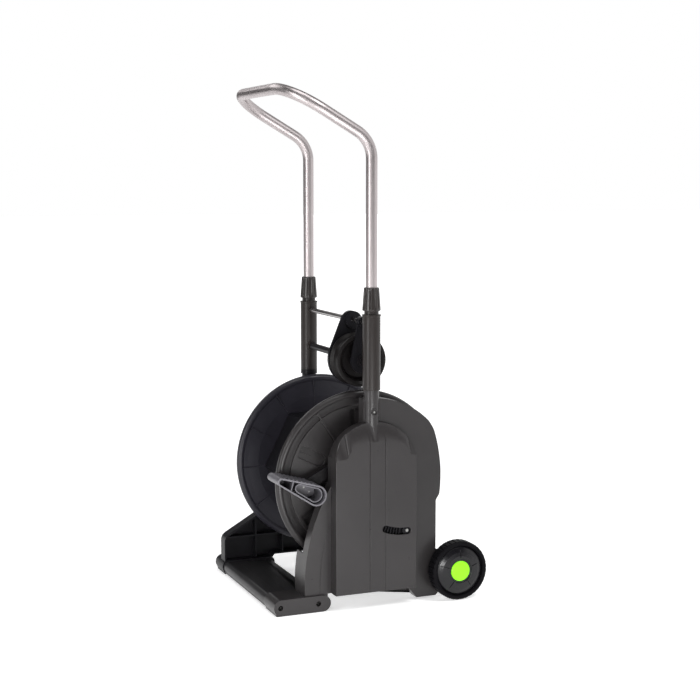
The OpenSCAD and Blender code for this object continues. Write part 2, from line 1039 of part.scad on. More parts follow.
// Water inlet: a cap that turns on the shaft's end, with a hose stub hanging down.
module inlet_elbow() {
    piece(black)
        difference() {
            union() {
                rod_x(-201, -177.5, 14, 0, reel_z);
                rod_x(-203, -201, 14, 0, reel_z, 11);
                translate([inlet_x, 0, reel_z])
                    mirror([0, 0, 1]) {
                        cylinder(h = 32, r = 9.5);
                        translate([0, 0, 26])
                            cylinder(h = 6, r = 11.5, $fn = 6);
                        cylinder(h = 54, r = 7);
                    }
            }
            rod_x(-190, -170, shaft_r + run_gap, 0, reel_z);
            rod_x(-196, -170, 5, 0, reel_z);
            translate([inlet_x, 0, reel_z - 80])
                cylinder(h = 80, r = 4);
        }
}

// ---------- pedal drive ----------

module pedal_bush() {
    piece(grey)
        ring_x(panel_min_x - 2, panel_x + 2, 10, pedal_shaft_r + run_gap, pedal_y, pedal_z);
}

module foot_pedal() {
    inner_wall = pedal_wall + 0.4;
    piece(grey)
        difference() {
            union() {
                slab(pedal_min_x, pedal_max_x)
                    difference() {
                        link_2d(pedal_heel, pedal_heel_r, pedal_tip, pedal_tip_r);
                        link_2d(pedal_heel, pedal_heel_r - pedal_wall, pedal_tip, pedal_tip_r - pedal_wall);
                    }
                slab(arm_x[1], arm_x[1] + 4)
                    link_2d(pedal_heel, pedal_heel_r - 1, pedal_tip, pedal_tip_r - 1);
                slab(pedal_min_x + 1, pedal_max_x - 7)
                    difference() {
                        link_2d(pedal_heel + [-1, 0.5], pedal_heel_r - inner_wall - 2, [-152, 247], 9);
                        link_2d(pedal_heel + [-1, 0.5], pedal_heel_r - inner_wall - 4.4, [-152, 247], 6.6);
                    }
                slab(pedal_min_x + 1, pedal_max_x - 3)
                    translate([-168, 252])
                        rotate(-16)
                            square([2.2, 20], center = true);
                pedal_treads();
            }
            slab(pedal_min_x - 1, arm_x[1])
                arm_2d(0.4);
            for (p = pedal_screw_yz)
                rod_x(100, arm_x[1] + 10, foot_screw_r + eps, p[0], p[1]);
        }
}

pedal_screw_yz = [[-118, 230], [-129, 240]];

// Raised bars across the top of the pedal.
module pedal_treads() {
    top_dir = pedal_heel - pedal_tip;
    slope = atan2(top_dir[1], top_dir[0]) + asin((pedal_heel_r - pedal_tip_r) / norm(top_dir));
    for (i = [0:7])
        slab(pedal_min_x + 2, pedal_max_x - 2)
            translate(pedal_tip)
                rotate(slope)
                    translate([4 + 8.4 * i, pedal_tip_r - 1])
                        square([3.6, 2.4]);
}

// Cranked arm from the pedal shaft to the pedal.
module arm_2d(grow) {
    link_2d([pedal_y, pedal_z], 17 + grow, [-28, 288], 12 + grow);
    link_2d([-28, 288], 12 + grow, [-112, 247], 11 + grow);
    link_2d([-112, 247], 11 + grow, pedal_heel + [-2, 1], 11 + grow);
}

module pedal_arm() {
    piece(black)
        difference() {
            union() {
                slab(arm_x[0], arm_x[1])
                    arm_2d(0);
                rod_x(arm_x[0] - 2, panel_min_x - 3, 15, pedal_y, pedal_z);
            }
            rod_x(100, 200, pedal_shaft_r + eps, pedal_y, pedal_z);
            for (p = pedal_screw_yz)
                rod_x(100, 200, foot_screw_r + eps, p[0], p[1]);
        }
}

module pedal_screws() {
    piece(grey)
        for (p = pedal_screw_yz)
            screw_x(arm_x[0], -1, 3.6, 2, foot_screw_r, 11.5, p[0], p[1]);
}

module pedal_shaft() {
    piece(bare_metal) {
        rod_x(arm_x[0] - 2, gear_x[1] + 2, pedal_shaft_r, pedal_y, pedal_z);
        rod_x(arm_x[0] - 4, arm_x[0] - 2, 10, pedal_y, pedal_z);
    }
}

// One gear's outline: teeth from the first to the last, tapered, on a solid disc.
function tooth_points(teeth, first, last) = [
    for (i = [first:last])
        for (c = [[-0.29, -1.2], [-0.13, 0.8], [0.13, 0.8], [0.29, -1.2]])
            let (
                a = 360 / teeth * (i + c[0]),
                r = tooth * (teeth / 2 + c[1])
            )
            r * [cos(a), sin(a)]
];

module drive_pinion() {
    piece(bare_metal)
        difference() {
            union() {
                side_view(0, reel_z)
                    translate([0, 0, gear_x[0]])
                        linear_extrude(gear_x[1] - gear_x[0])
                            rotate(mesh_angle - 180 + 180 / pinion_teeth)
                                polygon(tooth_points(pinion_teeth, 0, pinion_teeth - 1));
                rod_x(gear_x[0] - 3, gear_x[0] + 1, 13, 0, reel_z);
            }
            rod_x(100, 300, shaft_r + run_gap, 0, reel_z);
        }
}

// Toothed sector with a tail. The tail carries the stop screw and hides the slot.
module sector_gear() {
    tail = [pedal_y, pedal_z] + slot_r * [cos(slot_rest_angle), sin(slot_rest_angle)];
    piece(black)
        difference() {
            union() {
                slab(gear_x[0], gear_x[1])
                    translate([pedal_y, pedal_z])
                        rotate(mesh_angle)
                            polygon(concat([[0, 0]], tooth_points(sector_teeth, -2, 5)));
                rod_x(gear_x[0], gear_x[1], 15, pedal_y, pedal_z);
                slab(gear_x[0], gear_x[0] + 5)
                    link_2d([pedal_y, pedal_z], 14, tail, 10);
                slot_shutter();
            }
            rod_x(100, 300, pedal_shaft_r + eps, pedal_y, pedal_z);
            rod_x(100, 300, 3 + eps, tail[0], tail[1]);
        }
}

// Ribbed arc that closes the slot behind the stop screw.
module slot_shutter() {
    shutter_x = [gear_x[1] - 3, cover_x - wall - 2];
    side_view(pedal_y, pedal_z) {
        rotate([0, 0, slot_rest_angle - 30])
            rotate_extrude(angle = 34)
                translate([slot_r - 12, shutter_x[0]])
                    square([24, 3]);
        for (i = [0:7])
            rotate([0, 0, slot_rest_angle - 29 + 3 * i])
                translate([slot_r - 9, -0.6, shutter_x[0] + 2])
                    cube([18, 1.4, shutter_x[1] - shutter_x[0] - 2]);
        translate([slot_r * cos(slot_rest_angle), slot_r * sin(slot_rest_angle), gear_x[0]])
            cylinder(h = shutter_x[1] - gear_x[0], r = 9);
    }
}

module stop_screw() {
    piece(bare_metal)
        side_view(pedal_y, pedal_z)
            translate([slot_r * cos(slot_rest_angle), slot_r * sin(slot_rest_angle), 0]) {
                translate([0, 0, gear_x[0]])
                    cylinder(h = cover_x - gear_x[0] - 3, r = 3);
                translate([0, 0, cover_x - wall - 1])
                    cylinder(h = 3, r = 5.4);
            }
}

// ---------- hose guide ----------

module guide_carriage() {
    piece(black)
        difference() {
            union() {
                slab(guide_min_x, guide_min_x + guide_plate)
                    carriage_2d();
                slab(guide_min_x + guide_plate - 0.5, guide_min_x + guide_plate + 2.5)
                    difference() {
                        carriage_2d();
                        circle_at(0, lower_rod_z, carriage_r - 3);
                        circle_at(0, upper_rod_z - 4, 18);
                    }
                rod_x(58, 82, 17, 0, upper_rod_z);
                rod_x(50, 58, 12, 0, upper_rod_z, 17);
                rod_x(guide_min_x - 6, guide_min_x + 1, 16, 0, lower_rod_z);
            }
            rod_x(0, 200, upper_rod_r + free_gap, 0, upper_rod_z);
            rod_x(0, 200, 10 + eps, 0, lower_rod_z);
        }
}

module carriage_2d() {
    link_2d([0, lower_rod_z], carriage_r, [-4, upper_rod_z - 4], 22);
}

// Narrow arm that closes the near side of the guide.
module guide_strap() {
    piece(black)
        difference() {
            union() {
                slab(guide_max_x - guide_plate, guide_max_x)
                    link_2d([0, lower_rod_z], 25, [0, upper_rod_z], 10);
                rod_x(guide_max_x - 12, guide_max_x + 3, 10, 0, upper_rod_z);
            }
            rod_x(0, 200, upper_rod_r + free_gap, 0, upper_rod_z);
            rod_x(0, 200, 10 + eps, 0, lower_rod_z);
        }
}

module guide_sleeve() {
    piece(grey)
        ring_x(guide_min_x - 8, guide_max_x + 4, 10, lower_rod_r + free_gap, 0, lower_rod_z);
}

module guide_circlips() {
    piece(grey) {
        ring_x(guide_min_x - 7.6, guide_min_x - 6.1, 12.5, 10 + eps, 0, lower_rod_z);
        ring_x(guide_max_x + 1, guide_max_x + 2.5, 12.5, 10 + eps, 0, lower_rod_z);
    }
}

module guide_roller() {
    x0 = guide_min_x + guide_plate + 4.5;
    x1 = guide_max_x - guide_plate - 1;
    mid = (x0 + x1) / 2;
    piece(black)
        side_view(0, lower_rod_z)
            rotate_extrude($fn = 128)
                polygon([
                    [10 + run_gap, x0],
                    [16, x0],
                    [16, mid - 3],
                    [38, mid - 3],
                    [40, x0 + 4],
                    [46, x0],
                    [roller_r - 1, x0],
                    [roller_r, x0 + 1],
                    [roller_r, x0 + 4],
                    [roller_r - 7, x0 + 10],
                    [roller_r - 7, x1 - 10],
                    [roller_r, x1 - 4],
                    [roller_r, x1 - 1],
                    [roller_r - 1, x1],
                    [46, x1],
                    [40, x1 - 6],
                    [38, mid + 3],
                    [16, mid + 3],
                    [16, x1],
                    [10 + run_gap, x1]
                ]);
}

// ---------- wheels ----------

// Half section of the wheel: radius, then X from the inner face.
module wheel_section() {
    polygon([
        [hub_bore_r, 0],
        [15, 0],
        [15, 8],
        [42, 8],
        [44, 1],
        [wheel_r - 3, 1],
        [wheel_r, 4],
        [wheel_r, wheel_w - 5],
        [wheel_r - 4, wheel_w - 1],
        [wheel_r - 7, wheel_w - 1],
        [wheel_r - 9, wheel_w - 4],
        [wheel_r - 9, wheel_w - 12],
        [hub_bore_r, wheel_w - 12]
    ]);
}

module wheel() {
    difference() {
        rotate_extrude($fn = 128)
            wheel_section();
        for (i = [0:35])
            rotate([0, 0, 10 * i])
                translate([wheel_r - 1.4, -1.3, 5])
                    cube([5, 2.6, wheel_w - 13]);
    }
}

// Domed disc in the wheel's outer recess.
module wheel_disc() {
    difference() {
        rotate_extrude($fn = 128)
            polygon([
                [12, wheel_w - 11.9],
                [wheel_r - 9.3, wheel_w - 11.9],
                [wheel_r - 9.3, wheel_w - 8],
                [46, wheel_w - 5.5],
                [38, wheel_w - 2.4],
                [30, wheel_w - 0.8],
                [24, wheel_w - 0.4],
                [24, wheel_w - 2],
                [20.4, wheel_w - 2],
                [20.4, wheel_w - 8],
                [12, wheel_w - 8]
            ]);
        for (i = [0:4])
            rotate([0, 0, 72 * i])
                translate([26, -0.8, wheel_w - 1.6])
                    cube([18, 1.6, 6]);
    }
}

module wheel_cap() {
    rotate_extrude($fn = 96)
        polygon([
            [0, wheel_w - 4],
            [16, wheel_w - 4],
            [16, wheel_w - 7.9],
            [19, wheel_w - 7.9],
            [20.2, wheel_w - 7],
            [20.2, wheel_w - 1],
            [19, wheel_w],
            [0, wheel_w + 0.8]
        ]);
}

module on_axle(side) {
    mirror([side < 0 ? 1 : 0, 0, 0])
        side_view(axle_y, wheel_r)
            translate([0, 0, wheel_min_x])
                children();
}

module right_wheel() {
    piece(black)
        on_axle(1)
            wheel();
}

module left_wheel() {
    piece(black)
        on_axle(-1)
            wheel();
}

module right_wheel_disc() {
    piece(black)
        on_axle(1)
            wheel_disc();
}

module left_wheel_disc() {
    piece(black)
        on_axle(-1)
            wheel_disc();
}

module right_wheel_cap() {
    piece(lime)
        on_axle(1)
            wheel_cap();
}

module left_wheel_cap() {
    piece(lime)
        on_axle(-1)
            wheel_cap();
}

module wheel_axle() {
    piece(bare_metal)
        rod_x(-clip_x, clip_x, axle_r, axle_y, wheel_r);
}

module axle_clips() {
    piece(bare_metal)
        for (x = [clip_x - 4.4, -clip_x + 2.9])
            ring_x(x, x + 1.5, 10, axle_r + eps, axle_y, wheel_r);
}

right_side_panel();
left_side_panel();
gear_cover();
cover_screws();
foot_plate();
right_foot_cap();
left_foot_cap();
foot_screws();
right_upright();
left_upright();
upright_screws();
upper_guide_rod();
lower_guide_rod();
right_collet();
left_collet();
wheel_axle();
axle_clips();
right_reel_bush();
left_reel_bush();
pedal_bush();
handle_tube();
handle_end_plugs();
right_clamp_nut();
left_clamp_nut();
right_flange();
left_flange();
reel_core();
reel_shaft();
reel_screws();
feed_pipe();
hose_outlet();
shaft_seals();
inlet_elbow();
foot_pedal();
pedal_arm();
pedal_shaft();
sector_gear();
stop_screw();
pedal_screws();
drive_pinion();
guide_carriage();
guide_strap();
guide_sleeve();
guide_roller();
guide_circlips();
right_wheel();
right_wheel_disc();
right_wheel_cap();
left_wheel();
left_wheel_disc();
left_wheel_cap();
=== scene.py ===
import json
import math

import bmesh
import bpy
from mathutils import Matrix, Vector


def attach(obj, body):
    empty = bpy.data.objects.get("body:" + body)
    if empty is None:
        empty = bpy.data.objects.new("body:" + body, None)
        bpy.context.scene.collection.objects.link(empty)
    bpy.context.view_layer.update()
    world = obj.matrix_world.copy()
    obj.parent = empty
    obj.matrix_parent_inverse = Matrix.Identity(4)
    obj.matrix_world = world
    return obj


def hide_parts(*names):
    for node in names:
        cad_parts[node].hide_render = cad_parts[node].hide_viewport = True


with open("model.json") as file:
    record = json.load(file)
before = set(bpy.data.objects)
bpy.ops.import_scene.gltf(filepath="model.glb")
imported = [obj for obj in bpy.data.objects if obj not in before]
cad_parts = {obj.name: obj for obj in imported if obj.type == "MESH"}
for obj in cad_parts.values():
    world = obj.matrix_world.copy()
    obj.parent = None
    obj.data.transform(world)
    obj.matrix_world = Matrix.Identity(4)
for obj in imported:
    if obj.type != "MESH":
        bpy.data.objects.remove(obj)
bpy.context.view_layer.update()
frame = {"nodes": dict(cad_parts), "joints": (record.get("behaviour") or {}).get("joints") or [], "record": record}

MM = 0.001
SIDES = (("right", 1), ("left", -1))
reel = Vector(next(j["pos_m"] for j in frame["joints"] if j["name"] == "reel_spin"))
slots_of = {s["node"]: s["material_slot"] for s in frame["record"]["subparts"]}
body_of = {
    node_name: body_name
    for body_name, node_names in frame["record"]["behaviour"]["bodies"].items()
    for node_name in node_names
}


def new_object(name, data):
    obj = bpy.data.objects.new(name, data)
    bpy.context.scene.collection.objects.link(obj)
    return obj


# ---------- camera, light and floor ----------

CAMERA_AZIMUTH = math.radians(67.563)
CAMERA_PITCH = math.radians(6.744)
CAMERA_DISTANCE = 2.9419
CAMERA_TARGET = Vector((0.0037, 0.0239 + reel.y, 0.4865))
CLIP_RANGE = (0.05, 50)
SENSOR = 36.0
LENS = 73.94

CART_MIDDLE = (0, 0, 0.45)
FRONT_CORNER = (0.15, -0.36, 0.12)
COVER_TOP = (0.1, 0.0, 0.35)

# name, place, point it looks at, width and height in metres, watts
LIGHTS = (
    ("low_key", (1.05, -0.24, 0.12), FRONT_CORNER, (0.45, 0.16), 4.5),
    ("strip", (0.9, -1.9, 0.75), CART_MIDDLE, (0.30, 1.5), 18),
    ("roof", (1.5, 0.7, 2.5), COVER_TOP, (0.6, 0.6), 24),
    ("rim", (-1.6, -1.2, 2.2), CART_MIDDLE, (1.4, 1.4), 16),
    ("top", (0.5, -0.2, 2.9), CART_MIDDLE, (1.2, 1.2), 16),
)

# name, centre, the way it faces, width, height, grey
CARDS = (
    ("card_front", (0.4, -2.2, 1.7), (0, 1, 0), 4.0, 2.7, 0.10),
    ("card_far", (-2.4, -1.2, 1.8), (1, 0.4, 0), 2.6, 2.8, 0.03),
    ("card_top", (0.0, 0.0, 3.2), (0, 0, -1), 5.0, 5.0, 0.02),
    ("card_side", (3.6, 0.4, 1.9), (-1, 0, 0), 5.0, 3.0, 0.02),
)

FLOOR_HALF_SIDE = 30
FLOOR_DROP = 0.0005
FLOOR_GLOW = 0.50


def add_camera():
    data = bpy.data.cameras.new("camera")
    data.sensor_width = SENSOR
    data.lens = LENS
    data.clip_start, data.clip_end = CLIP_RANGE
    camera = new_object("camera", data)
    back = Vector((
        math.sin(CAMERA_AZIMUTH) * math.cos(CAMERA_PITCH),
        -math.cos(CAMERA_AZIMUTH) * math.cos(CAMERA_PITCH),
        math.sin(CAMERA_PITCH),
    ))
    camera.location = CAMERA_TARGET + back * CAMERA_DISTANCE
    camera.rotation_euler = (math.pi / 2 - CAMERA_PITCH, 0, CAMERA_AZIMUTH)
    bpy.context.scene.camera = camera


def add_area_light(name, place, target, size, power):
    data = bpy.data.lights.new(name, "AREA")
    data.shape = "RECTANGLE"
    data.size, data.size_y = size
    data.energy = power
    light = new_object(name, data)
    light.location = place
    light.rotation_euler = (Vector(target) - Vector(place)).to_track_quat("-Z", "Y").to_euler()
    light.visible_camera = False


def flat_square(name, half_side, segments):
    bm = bmesh.new()
    bmesh.ops.create_grid(bm, x_segments=segments, y_segments=segments, size=half_side)
    mesh = bpy.data.meshes.new(name)
    bm.to_mesh(mesh)
    bm.free()
    return new_object(name, mesh)


def add_card(name, centre, facing, width, height, grey):
    """A grey card that the camera does not see; it shades one side of the cart."""
    card = flat_square(name, 0.5, 1)
    card.location = centre
    card.rotation_euler = Vector(facing).to_track_quat("Z", "Y").to_euler()
    card.scale = (width, height, 1)
    material, _, shader = new_material(name)
    shader.inputs["Base Color"].default_value = (grey, grey, grey, 1)
    shader.inputs["Roughness"].default_value = 1.0
    card.data.materials.append(material)
    card.visible_camera = False
    card.visible_shadow = False


def add_floor():
    """A wide sheet of pale paper."""
    floor = flat_square("floor", FLOOR_HALF_SIDE, 8)
    floor.location.z = -FLOOR_DROP
    material, tree, shader = new_material("floor_paper")
    shader.inputs["Roughness"].default_value = 0.9
    shader.inputs["Emission Color"].default_value = (1, 1, 1, 1)
    shader.inputs["Emission Strength"].default_value = FLOOR_GLOW
    clouds = add_noise(tree, None, 3)
    paper = add_ramp(tree, clouds, 0.0, (0.92, 0.92, 0.92), 1.0, (0.95, 0.95, 0.95))
    tree.links.new(paper, shader.inputs["Base Color"])
    floor.data.materials.append(material)


def add_studio():
    world = bpy.data.worlds.new("studio")
    world.use_nodes = True
    world.node_tree.nodes["Background"].inputs["Color"].default_value = (1, 1, 1, 1)
    world.node_tree.nodes["Background"].inputs["Strength"].default_value = 1.0
    bpy.context.scene.world = world
    bpy.context.scene.view_settings.view_transform = "Standard"
    for light in LIGHTS:
        add_area_light(*light)
    for card in CARDS:
        add_card(*card)
    add_floor()


# ---------- materials ----------

BLACK, WHITE = (0, 0, 0), (1, 1, 1)
NOISE_LOW, NOISE_HIGH = 0.3, 0.7      # the span that a noise texture mostly fills
GRAIN_SCALE, GRAIN_DEPTH = 1400.0, 0.0006
DRAWN_LINE_DEPTH = 0.0003


def new_material(name):
    """A new material with its node tree and its shader."""
    material = bpy.data.materials.new(name)
    material.use_nodes = True
    tree = material.node_tree
    return material, tree, tree.nodes["Principled BSDF"]


def add_noise(tree, place, scale, detail=2.0, roughness=0.5, distortion=0.0):
    node = tree.nodes.new("ShaderNodeTexNoise")
    node.inputs["Scale"].default_value = scale
    node.inputs["Detail"].default_value = detail
    node.inputs["Roughness"].default_value = roughness
    node.inputs["Distortion"].default_value = distortion
    if place:
        tree.links.new(place, node.inputs["Vector"])
    return node.outputs["Fac"]


def add_ramp(tree, value, low, low_colour, high, high_colour):
    node = tree.nodes.new("ShaderNodeValToRGB")
    first, last = node.color_ramp.elements
    first.position, last.position = low, high
    first.color = list(low_colour) + [1]
    last.color = list(high_colour) + [1]
    tree.links.new(value, node.inputs["Fac"])
    return node.outputs["Color"]


def tint(tree, value, colour, darker, lighter):
    """The colour, varied between two factors of itself."""
    return add_ramp(
        tree, value, NOISE_LOW, [c * darker for c in colour],
        NOISE_HIGH, [min(1, c * lighter) for c in colour],
    )


def vary_roughness(tree, shader, value, low, high):
    node = tree.nodes.new("ShaderNodeMapRange")
    node.inputs["From Min"].default_value = NOISE_LOW
    node.inputs["From Max"].default_value = NOISE_HIGH
    node.inputs["To Min"].default_value = low
    node.inputs["To Max"].default_value = high
    tree.links.new(value, node.inputs["Value"])
    tree.links.new(node.outputs["Result"], shader.inputs["Roughness"])


def add_relief(tree, shader, value, strength, depth):
    node = tree.nodes.new("ShaderNodeBump")
    node.inputs["Strength"].default_value = strength
    node.inputs["Distance"].default_value = depth
    tree.links.new(value, node.inputs["Height"])
    tree.links.new(node.outputs["Normal"], shader.inputs["Normal"])


def moulded_plastic(name, colour, rough, gloss_level=0.3, bump=0.08, variation=0.12, wear=0.15):
    """Moulded plastic: fine spark-eroded grain, faint flow marks and small handling scuffs."""
    material, tree, shader = new_material(name)
    shader.inputs["Specular IOR Level"].default_value = gloss_level
    place = tree.nodes.new("ShaderNodeTexCoord").outputs["Object"]

    flow = add_noise(tree, place, 9, 5, distortion=0.6)
    fresh = tint(tree, flow, colour, 1 - variation, 1 + variation)
    scuff = add_noise(tree, place, 60, 8, roughness=0.75)
    scuffed = add_ramp(tree, scuff, 0.62, BLACK, 0.74, WHITE)
    share = tree.nodes.new("ShaderNodeMath")
    share.operation = "MULTIPLY"
    share.inputs[1].default_value = wear
    tree.links.new(scuffed, share.inputs[0])
    worn = tree.nodes.new("ShaderNodeMixRGB")
    worn.inputs["Color2"].default_value = [min(1, c * 1.6 + 0.01) for c in colour] + [1]
    tree.links.new(share.outputs["Value"], worn.inputs["Fac"])
    tree.links.new(fresh, worn.inputs["Color1"])
    tree.links.new(worn.outputs["Color"], shader.inputs["Base Color"])

    vary_roughness(tree, shader, scuff, rough - 0.02, rough + 0.03)
    add_relief(tree, shader, add_noise(tree, place, GRAIN_SCALE, 3), bump, GRAIN_DEPTH)
    return material


def metal(name, colour, rough, along=(1, 1, 1), bump=0.04, fineness=400, spread=0.06):
    """Drawn or turned metal: fine lines along one direction, slight tarnish."""
    material, tree, shader = new_material(name)
    shader.inputs["Metallic"].default_value = 1.0
    place = tree.nodes.new("ShaderNodeTexCoord").outputs["Object"]
    stretch = tree.nodes.new("ShaderNodeMapping")
    stretch.inputs["Scale"].default_value = along
    tree.links.new(place, stretch.inputs["Vector"])

    tarnish = tint(tree, add_noise(tree, place, 14, 6), colour, 0.93, 1.05)
    tree.links.new(tarnish, shader.inputs["Base Color"])
    lines = add_noise(tree, stretch.outputs["Vector"], fineness, 4)
    vary_roughness(tree, shader, lines, rough - spread, rough + spread)
    add_relief(tree, shader, lines, bump, DRAWN_LINE_DEPTH)
    return material


PLASTICS = {
    "shell_grey": dict(colour=(0.025, 0.0228, 0.0234), rough=0.29, gloss_level=0.32),
    "shell_black": dict(colour=(0.0075, 0.0072, 0.0088), rough=0.36, gloss_level=0.14),
    "upright_black": dict(
        colour=(0.015, 0.0115, 0.0105), rough=0.34, gloss_level=0.30, bump=0.02, wear=0.05
    ),
    "nut_brown": dict(
        colour=(0.016, 0.0125, 0.0115), rough=0.30, gloss_level=0.55, bump=0.03, wear=0.05
    ),
    "bush_grey": dict(colour=(0.20, 0.19, 0.18), rough=0.45),
    "rod_black": dict(colour=(0.010, 0.009, 0.010), rough=0.35, gloss_level=0.15, bump=0.03),
    "seal_rubber": dict(colour=(0.012, 0.012, 0.012), rough=0.6),
    "pedal_grey": dict(colour=(0.105, 0.101, 0.114), rough=0.38, gloss_level=0.4),
    "roller_black": dict(colour=(0.008, 0.0068, 0.0068), rough=0.36, gloss_level=0.14),
    "wheel_black": dict(colour=(0.0035, 0.0032, 0.0042), rough=0.5, gloss_level=0.06),
    "disc_black": dict(colour=(0.006, 0.0056, 0.0072), rough=0.22, gloss_level=0.35, bump=0.03),
    "plate_grey": dict(colour=(0.021, 0.020, 0.0215), rough=0.34, gloss_level=0.26),
    "flange_black": dict(colour=(0.019, 0.018, 0.024), rough=0.34, gloss_level=0.35),
    "cap_lime": dict(colour=(0.27, 0.95, 0.012), rough=0.33, bump=0.02, variation=0.04),
}
METALS = {
    "handle_metal": dict(colour=(0.47, 0.428, 0.43), rough=0.40, bump=0.002, fineness=30, spread=0.02),
    "rod_metal": dict(colour=(0.36, 0.345, 0.345), rough=0.28, along=(0.03, 1, 1)),
    "steel": dict(colour=(0.30, 0.30, 0.29), rough=0.33),
    "brass": dict(colour=(0.55, 0.38, 0.16), rough=0.30),
}
materials = {name: moulded_plastic(name, **look) for name, look in PLASTICS.items()}
materials.update({name: metal(name, **look) for name, look in METALS.items()})

# Nodes drawn in a different finish from the rest of their slot
SLOT_FINISH_OVERRIDES = {
    "left_flange": "flange_black", "foot_plate": "plate_grey",
    "right_clamp_nut": "nut_brown", "left_clamp_nut": "nut_brown",
    "guide_circlips": "rod_black", "guide_sleeve": "rod_black",
}


def finish_for(node):
    return materials[SLOT_FINISH_OVERRIDES.get(node, slots_of[node])]


for node_name, node in frame["nodes"].items():
    node.data.materials.clear()
    node.data.materials.append(finish_for(node_name))


# ---------- mesh tools ----------

RIM_STEPS = 4
SAME_POINT = 2e-6
SAME_PLANE = math.radians(0.6)
SHARP = math.radians(35.0)
ON_PLANE = 0.05


def at(x, y, z):
    """A point in metres from millimetres measured from the reel's axis."""
    return Vector((x * MM, y * MM + reel.y, z * MM))


def soft_outline(corners, steps):
    """A closed outline with an arc at each corner; a corner is (a, b, radius)."""
    points = []
    count = len(corners)
    for i, (a, b, r) in enumerate(corners):
        here = Vector((a, b))
        before = Vector(corners[i - 1][:2]) - here
        after = Vector(corners[(i + 1) % count][:2]) - here
        angle = before.angle(after)
        if r <= 0 or angle > math.pi - 0.02:
            points.append((a, b))
            continue
        run = min(r / math.tan(angle / 2), before.length * 0.48, after.length * 0.48)
        r = run * math.tan(angle / 2)
        middle = (before.normalized() + after.normalized()).normalized()
        centre = here + middle * (r / math.sin(angle / 2))
        first = here + before.normalized() * run - centre
        last = here + after.normalized() * run - centre
        sweep = math.pi - angle
        for k in range(steps + 1):
            share = k / steps
            first_share = math.sin((1 - share) * sweep) / math.sin(sweep)
            last_share = math.sin(share * sweep) / math.sin(sweep)
            p = centre + first * first_share + last * last_share
            points.append((p.x, p.y))
    return points


def inset_outline(points, amount):
    """The outline moved inward along its own normals."""
    count = len(points)
    area = sum(
        points[i - 1][0] * points[i][1] - points[i][0] * points[i - 1][1] for i in range(count)
    )
    side = 1 if area > 0 else -1
    moved = []
    for i in range(count):
        before = Vector(points[i - 1])
        here = Vector(points[i])
        after = Vector(points[(i + 1) % count])
        n1 = Vector((before.y - here.y, here.x - before.x)).normalized()
        n2 = Vector((here.y - after.y, after.x - here.x)).normalized()
        normal = (n1 + n2).normalized() / max(0.5, math.sqrt((1 + n1.dot(n2)) / 2))
        p = here + normal * side * amount
        moved.append((p.x, p.y))
    return moved


def stack(bm, rings, close=False):
    """Skins a list of point rings that all have the same count."""
    made = [[bm.verts.new(p) for p in ring] for ring in rings]
    pairs = list(zip(made, made[1:]))
    if close:
        pairs.append((made[-1], made[0]))
    for a, b in pairs:
        for i in range(len(a)):
            j = (i + 1) % len(a)
            bm.faces.new((a[i], a[j], b[j], b[i]))
    if not close:
        bm.faces.new(list(reversed(made[0])))
        bm.faces.new(made[-1])


def soft_slab(bm, outline, xs, edge):
    """A plate between two places on X whose two rims are rounded."""
    x0, x1 = sorted(xs)
    turns = [math.pi / 2 * k / RIM_STEPS for k in range(RIM_STEPS + 1)]
    low = [(x0 + edge * (1 - math.cos(a)), edge * (1 - math.sin(a))) for a in turns]
    high = [(x1 - edge * (1 - math.cos(a)), edge * (1 - math.sin(a))) for a in reversed(turns)]
    rings = [[at(x, y, z) for y, z in inset_outline(outline, inset)] for x, inset in low + high]
    stack(bm, rings)


def spin_x(bm, section, y, z, segments, relief=None):
    """Turns a closed (x, radius) section about a line along X."""
    rings = []
    for i in range(segments):
        a = 2 * math.pi * i / segments
        ring = []
        for x, r in section:
            r += relief(x, r, a) if relief else 0.0
            ring.append(at(x, y + r * math.cos(a), z + r * math.sin(a)))
        rings.append(ring)
    stack(bm, rings, close=True)


def spin_z(bm, section, x, segments, relief=None):
    """Turns a closed (radius, z) section about an upright line through (x, 0)."""
    rings = []
    for i in range(segments):
        a = 2 * math.pi * i / segments
        ring = []
        for r, z in section:
            r += relief(r, z, a) if relief else 0.0
            ring.append(at(x + r * math.cos(a), r * math.sin(a), z))
        rings.append(ring)
    stack(bm, rings, close=True)


def stack_x(bm, levels, y, z, segments):
    """A closed round bar along X, skinned over its (x, radius) levels."""
    turn = 2 * math.pi / segments
    stack(bm, [
        [at(x, y + r * math.cos(i * turn), z + r * math.sin(i * turn)) for i in range(segments)]
        for x, r in levels
    ])


def disc_x(bm, xs, r, y, z, edge, segments):
    """A short round bar between two places on X, with softened rims."""
    x0, x1 = sorted(xs)
    stack_x(bm, [
        (x0, r - edge), (x0 + edge * 0.3, r - edge * 0.3), (x0 + edge, r),
        (x1 - edge, r), (x1 - edge * 0.3, r - edge * 0.3), (x1, r - edge),
    ], y, z, segments)


def turned(u, v, angle, y, z):
    """The point (u, v) turned by an angle about the origin and moved to (y, z)."""
    return (
        y + u * math.cos(angle) - v * math.sin(angle),
        z + u * math.sin(angle) + v * math.cos(angle),
    )


def narrow_box(bm, r0, r1, half_width, angle, y, z, xs):
    """A sharp straight bar for cuts: it points from (y, z) at an angle, from r0 to r1."""
    corners = ((r0, -half_width), (r1, -half_width), (r1, half_width), (r0, half_width))
    soft_slab(bm, [turned(u, v, angle, y, z) for u, v in corners], xs, 0.0)


def mesh_from(bm, name):
    bmesh.ops.recalc_face_normals(bm, faces=bm.faces)
    mesh = bpy.data.meshes.new(name)
    bm.to_mesh(mesh)
    bm.free()
    return mesh


def cut_away(obj, cutter_bm):
    """Takes the cutter's shapes out of obj."""
    cutter = new_object("cutter", mesh_from(cutter_bm, "cutter"))
    modifier = obj.modifiers.new("cut", "BOOLEAN")
    modifier.operation = "DIFFERENCE"
    modifier.solver = "EXACT"
    modifier.object = cutter
    bake(obj)
    bpy.data.objects.remove(cutter)


